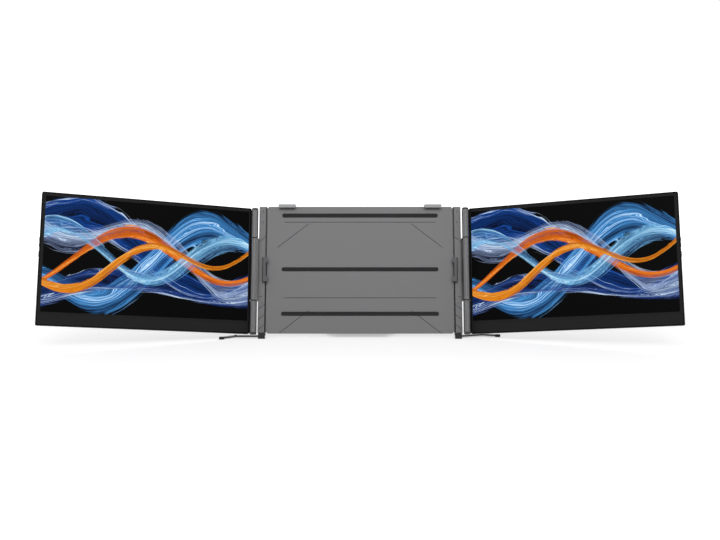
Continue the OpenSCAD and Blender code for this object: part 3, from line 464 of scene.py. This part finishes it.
# --- Display housings ---------------------------------------------------------------------------------------
# A pressed aluminium back with a blasted, dyed finish; a near-black front frame; and a charcoal strip below the
# picture. Both front mouldings turn black at the display's edge. Buttons are black, and sockets bright steel.
cover_metal = blasted("cover_anodised", shade(78, 78, 80), shade(98, 98, 100), metallic=0.6, rough=0.4)
button_plastic = moulded("button_black", shade(24, 24, 26), rough=0.3, pebble=3000.0, depth=0.01 * MM, gloss=0.3)
socket_steel = drawn("socket_stamped", shade(150, 152, 155), shade(196, 198, 202), (400.0, 400.0, 400.0), rough=0.25)
dress(cover_metal, *both("back_cover"))
dress(button_plastic, *both("power_button", "rocker"))
dress(socket_steel, *both("sockets"))


def display_axes(side):
    """The display's hinge point, and its directions outwards, backwards and upwards."""
    outwards = -Vector(joints[f"{side}_power_press"]["axis"]).normalized()
    backwards = Vector(joints[f"{side}_rocker_tilt"]["axis"]).normalized()
    return Vector(joints[f"{side}_display_hinge"]["pos_m"]), (outwards, backwards, up)


rim_w, rim_soft, front_gloss = 1.8 * MM, 0.5 * MM, 0.06
for side in SIDES:
    origin, axes = display_axes(side)
    corners = [reach(f"{side}_{name}", origin, axes) for name in ("bezel", "chin")]
    low = np.min([corner[0] for corner in corners], 0).tolist()
    high = np.max([corner[1] for corner in corners], 0).tolist()

    def rim(finish):
        """Black within the rim's width of the display's four edges."""
        outwards, upwards = finish.along(axes[0], origin), finish.along(axes[2], origin)
        inside = 1.0
        for depth in (outwards - low[0], high[0] - outwards, upwards - low[2], high[2] - upwards):
            inside = depth.step(rim_w, rim_w + rim_soft) * inside
        return 1.0 - inside

    bezel_black = moulded(f"{side}_bezel_black", shade(38, 38, 39), rough=0.42, pebble=3600.0, depth=0.01 * MM,
                          gloss=front_gloss, rim=rim)
    chin_charcoal = moulded(f"{side}_chin_charcoal", shade(40, 40, 40), rough=0.5, pebble=3000.0, depth=0.02 * MM,
                            gloss=front_gloss, rim=rim)
    dress(bezel_black, f"{side}_bezel")
    dress(chin_charcoal, f"{side}_chin")

# --- Control boards -----------------------------------------------------------------------------------------
# A green glass-fibre board with copper tracks under the lacquer. Whatever stands behind the board's back face is a
# black part soldered to it.
track_pitch, track_lean, track_bend, bend_scale = 1.6 * MM, 0.5, 10.8, 60.0
board_t, part_soft = 1.6 * MM, 0.1 * MM
for side in SIDES:
    origin, axes = display_axes(side)
    board = Finish(f"{side}_circuit_board")
    board_front = reach(f"{side}_board", origin, axes)[0][1]
    outwards, upwards = board.along(axes[0], origin), board.along(axes[2], origin)
    bends = board.noise(board.place(), bend_scale, 0.0) * track_bend
    tracks = ((outwards + upwards * track_lean) * (2 * math.pi / track_pitch) + bends).sine().step(0.3, 0.7)
    part = board.along(axes[1], origin).step(board_front + board_t, board_front + board_t + part_soft)
    lacquer = board.mix(tracks, shade(18, 78, 44), shade(34, 108, 62))
    board.put(Base_Color=board.mix(part, lacquer, shade(30, 30, 32)), Roughness=0.3 + part * 0.25,
              Normal=board.bump(tracks, 0.03 * MM, 0.5))
    dress(board, f"{side}_board")

# --- Pictures -----------------------------------------------------------------------------------------------
# Each panel is a steel tray whose lit face is a thin polariser sheet with an anti-glare surface. It shows a plain
# wallpaper of folded ribbons in blues, lavender and orange on black.
panel_side = moulded("panel_steel_tray", shade(120, 122, 125), rough=0.4)
dress(panel_side, *both("panel"))

picture_aspect, glare_scale = 16 / 9, 3000.0
picture = Finish("picture_lit")
uv = picture.node("ShaderNodeUVMap", {"uv_map": "picture"})
across = picture.node("ShaderNodeSeparateXYZ", {}, {"Vector": uv}, "X") * picture_aspect
height = picture.node("ShaderNodeSeparateXYZ", {}, {"Vector": uv}, "Y")


def ribbon(start, slope, sway, pitch, phase, width, turn):
    """Place across one ribbon, -1 to 1, whose middle is a sloping sine; its width swells and shrinks along it."""
    middle = start + across * slope + (across * pitch + phase).sine() * sway
    wide = width * (1.15 + (across * turn + phase * 2.0).sine() * 0.45)
    return (height - middle) / wide


def threads(place, count, phase, drift):
    """How brightly a ribbon's threads shine, and its pleats alone.

    Folds are a sine of the place across the ribbon, which wanders slowly along it. Pleats and single threads are
    noise drawn out along the folds, the threads finer.
    """
    def grain(along, off, detail=2.0, rough=0.5):
        return picture.noise(picture.node("ShaderNodeCombineXYZ", {}, [along, off, phase]), 1.0, detail, rough)

    lie = place * count + (across * drift + phase).sine() * 2.0 + grain(across * 2.2, place * 1.4) * 4.5
    folds = lie.sine() * 0.5 + 0.5
    pleats = grain(across * 1.3, lie * 2.4, 4.0, 0.7).step(0.34, 0.66)
    single = grain(across * 2.0, lie * 13.0).step(0.42, 0.62)
    return folds * 0.45 + pleats * 0.4 + single * 0.3, pleats


# Each row is one ribbon, and lies over the rows before it: its middle, width and threads, how far its gaps are
# covered, and the colours of its shade, its light and the crests of its folds.
glow = (0.0, 0.0, 0.0)
white_blue, pale_gold = shade(226, 246, 255), shade(255, 206, 120)
for start, slope, sway, pitch, phase, width, turn, count, drift, cover, dark, light, crest in (
        (0.66, -0.12, 0.24, 3.0, 0.5, 0.13, 2.0, 4.2, 1.4, 0.04, shade(2, 10, 50), shade(16, 84, 180), white_blue),
        (0.20, 0.30, 0.22, 3.9, 2.6, 0.125, 2.7, 4.6, 2.2, 0.04, shade(4, 30, 110), shade(86, 176, 250), white_blue),
        (0.84, -0.26, 0.18, 4.4, 4.0, 0.085, 3.3, 3.6, 2.9, 0.0, shade(40, 56, 120), shade(184, 206, 240), white_blue),
        (0.10, 0.12, 0.14, 2.6, 0.2, 0.075, 3.0, 3.8, 1.8, 0.04, shade(6, 12, 50), shade(34, 76, 160), white_blue),
        (0.44, 0.08, 0.24, 3.4, 5.5, 0.044, 3.8, 3.2, 3.5, 0.5, shade(130, 34, 0), shade(250, 126, 10), pale_gold),
        (0.56, -0.04, 0.20, 4.2, 1.0, 0.07, 4.4, 3.0, 2.4, 0.04, shade(10, 70, 160), shade(140, 212, 250), white_blue),
        (0.30, 0.20, 0.14, 5.0, 3.4, 0.032, 2.6, 2.6, 3.1, 0.5, shade(120, 40, 0), shade(250, 150, 24), pale_gold)):
    place = ribbon(start, slope, sway, pitch, phase, width, turn)
    lit, pleats = threads(place, count, phase, drift)
    inside = 1.0 - (place.size() + (1.0 - pleats) * 0.3).step(0.82, 1.0)
    silk = picture.mix(lit.step(0.78, 1.05) * 0.85, picture.mix(lit, dark, light), crest)
    glow = picture.mix(inside * (lit * 1.1 + cover), glow, silk)

picture.put(Base_Color=shade(4, 4, 5), Emission_Color=glow, Emission_Strength=1.0, Specular_IOR_Level=0.03,
            Roughness=0.34 + picture.noise(picture.place(), glare_scale) * 0.06)

sheet_margin, sheet_t, sheet_lift, sheet_round, round_steps = 1.5 * MM, 0.12 * MM, 0.02 * MM, 0.4 * MM, 5


def polariser(side):
    """A thin slab: a rectangle's outline with rounded corners, carried through its thickness and capped.

    Its UV map gives the share of the way across and up the sheet, from the viewer's left.
    """
    origin, axes = display_axes(side)
    panel_low, panel_high = reach(f"{side}_panel", origin, axes)
    low, high = panel_low[[0, 2]] + sheet_margin, panel_high[[0, 2]] - sheet_margin
    centre = (low + high) / 2
    turn = np.linspace(0, math.pi / 2, round_steps) + np.arange(4)[:, None] * (math.pi / 2)
    edge = sheet_round * np.stack([np.cos(turn), np.sin(turn)], -1)
    corners = np.array([(1, 1), (-1, 1), (-1, -1), (1, -1)])[:, None] * ((high - low) / 2 - sheet_round)
    outline = (centre + corners + edge).reshape(-1, 2)
    depths = panel_low[1] - sheet_lift - np.array([[0.0], [sheet_t]])
    local = np.stack(np.broadcast_arrays(outline[:, 0], depths, outline[:, 1]), -1)
    sheet = loft(f"{side}_polariser", laid(local, origin, axes), picture, f"{side}_display")
    share = ((local[..., (0, 2)] - low) / (high - low)).reshape(-1, 2)
    if side == "left":
        share[:, 0] = 1 - share[:, 0]
    corner = np.empty(len(sheet.data.loops), np.int32)
    sheet.data.loops.foreach_get("vertex_index", corner)
    uv_layer = sheet.data.uv_layers.new(name="picture")
    uv_layer.data.foreach_set("uv", share[corner].ravel().astype(np.float32))


for side in SIDES:
    polariser(side)


# --- Studio -------------------------------------------------------------------------------------------------
# A plain white floor and surround, with broad soft lamps in front, at both sides and behind. The camera and mirror
# reflections see white, while the object is lit at a plain level.
def lamp(name, place, size, power):
    """A rectangular lamp that faces the middle of the object."""
    light = bpy.data.lights.new(name, "AREA")
    light.shape = "RECTANGLE"
    light.size, light.size_y = size
    light.energy = power
    made = bpy.data.objects.new(name, light)
    made.location = place
    made.rotation_euler = (camera_aim - Vector(place)).to_track_quat("-Z", "Y").to_euler()
    bpy.context.scene.collection.objects.link(made)


lamp("front_lamp", (0.0, -2.6, 2.0), (2.4, 1.0), 20)
lamp("left_lamp", (-2.3, -0.8, 1.2), (0.7, 1.6), 8)
lamp("right_lamp", (2.3, -0.8, 1.2), (0.7, 1.6), 8)
lamp("back_lamp", (0.0, 2.4, 1.8), (2.4, 1.0), 16)

room_level = 0.5
mirror_rays = ("Is Glossy Ray", "Is Transmission Ray")
world = bpy.data.worlds.new("studio")
bpy.context.scene.world = world
world.use_nodes = True
rays = world.node_tree.nodes.new("ShaderNodeLightPath")
seen = rays.outputs["Is Camera Ray"]
for ray in mirror_rays:
    either = world.node_tree.nodes.new("ShaderNodeMath")
    either.operation = "MAXIMUM"
    world.node_tree.links.new(seen, either.inputs[0])
    world.node_tree.links.new(rays.outputs[ray], either.inputs[1])
    seen = either.outputs[0]
level = world.node_tree.nodes.new("ShaderNodeMapRange")
level.inputs["To Min"].default_value = room_level
world.node_tree.links.new(seen, level.inputs["Value"])
backdrop = world.node_tree.nodes["Background"]
world.node_tree.links.new(level.outputs[0], backdrop.inputs["Strength"])
backdrop.inputs["Color"].default_value = (1, 1, 1, 1)

floor_reach, near_glow, glow_from, glow_full = 40.0, 0.45, 0.4, 2.4
floor_mesh = bpy.data.meshes.new("floor")
floor_mesh.from_pydata([(x * floor_reach, y * floor_reach, 0) for x, y in ((-1, -1), (1, -1), (1, 1), (-1, 1))],
                       [], [(0, 1, 2, 3)])
floor = bpy.data.objects.new("floor", floor_mesh)
bpy.context.scene.collection.objects.link(floor)
paper = Finish("floor_paper")
from_middle = paper.node("ShaderNodeVectorMath", {"operation": "LENGTH"}, [paper.place()], "Value")
away = from_middle.step(glow_from, glow_full)
looked_at = paper.node("ShaderNodeLightPath", out="Is Camera Ray")
for ray in mirror_rays:
    looked_at = looked_at.math("MAXIMUM", looked_at, paper.node("ShaderNodeLightPath", out=ray))
paper.put(Base_Color=(0.82, 0.82, 0.82), Roughness=0.9, Specular_IOR_Level=0.0, Emission_Strength=1.0,
          Emission_Color=paper.mix(looked_at * (away * (1.0 - near_glow) + near_glow), (0, 0, 0), (1, 1, 1)))
floor_mesh.materials.append(paper.material)
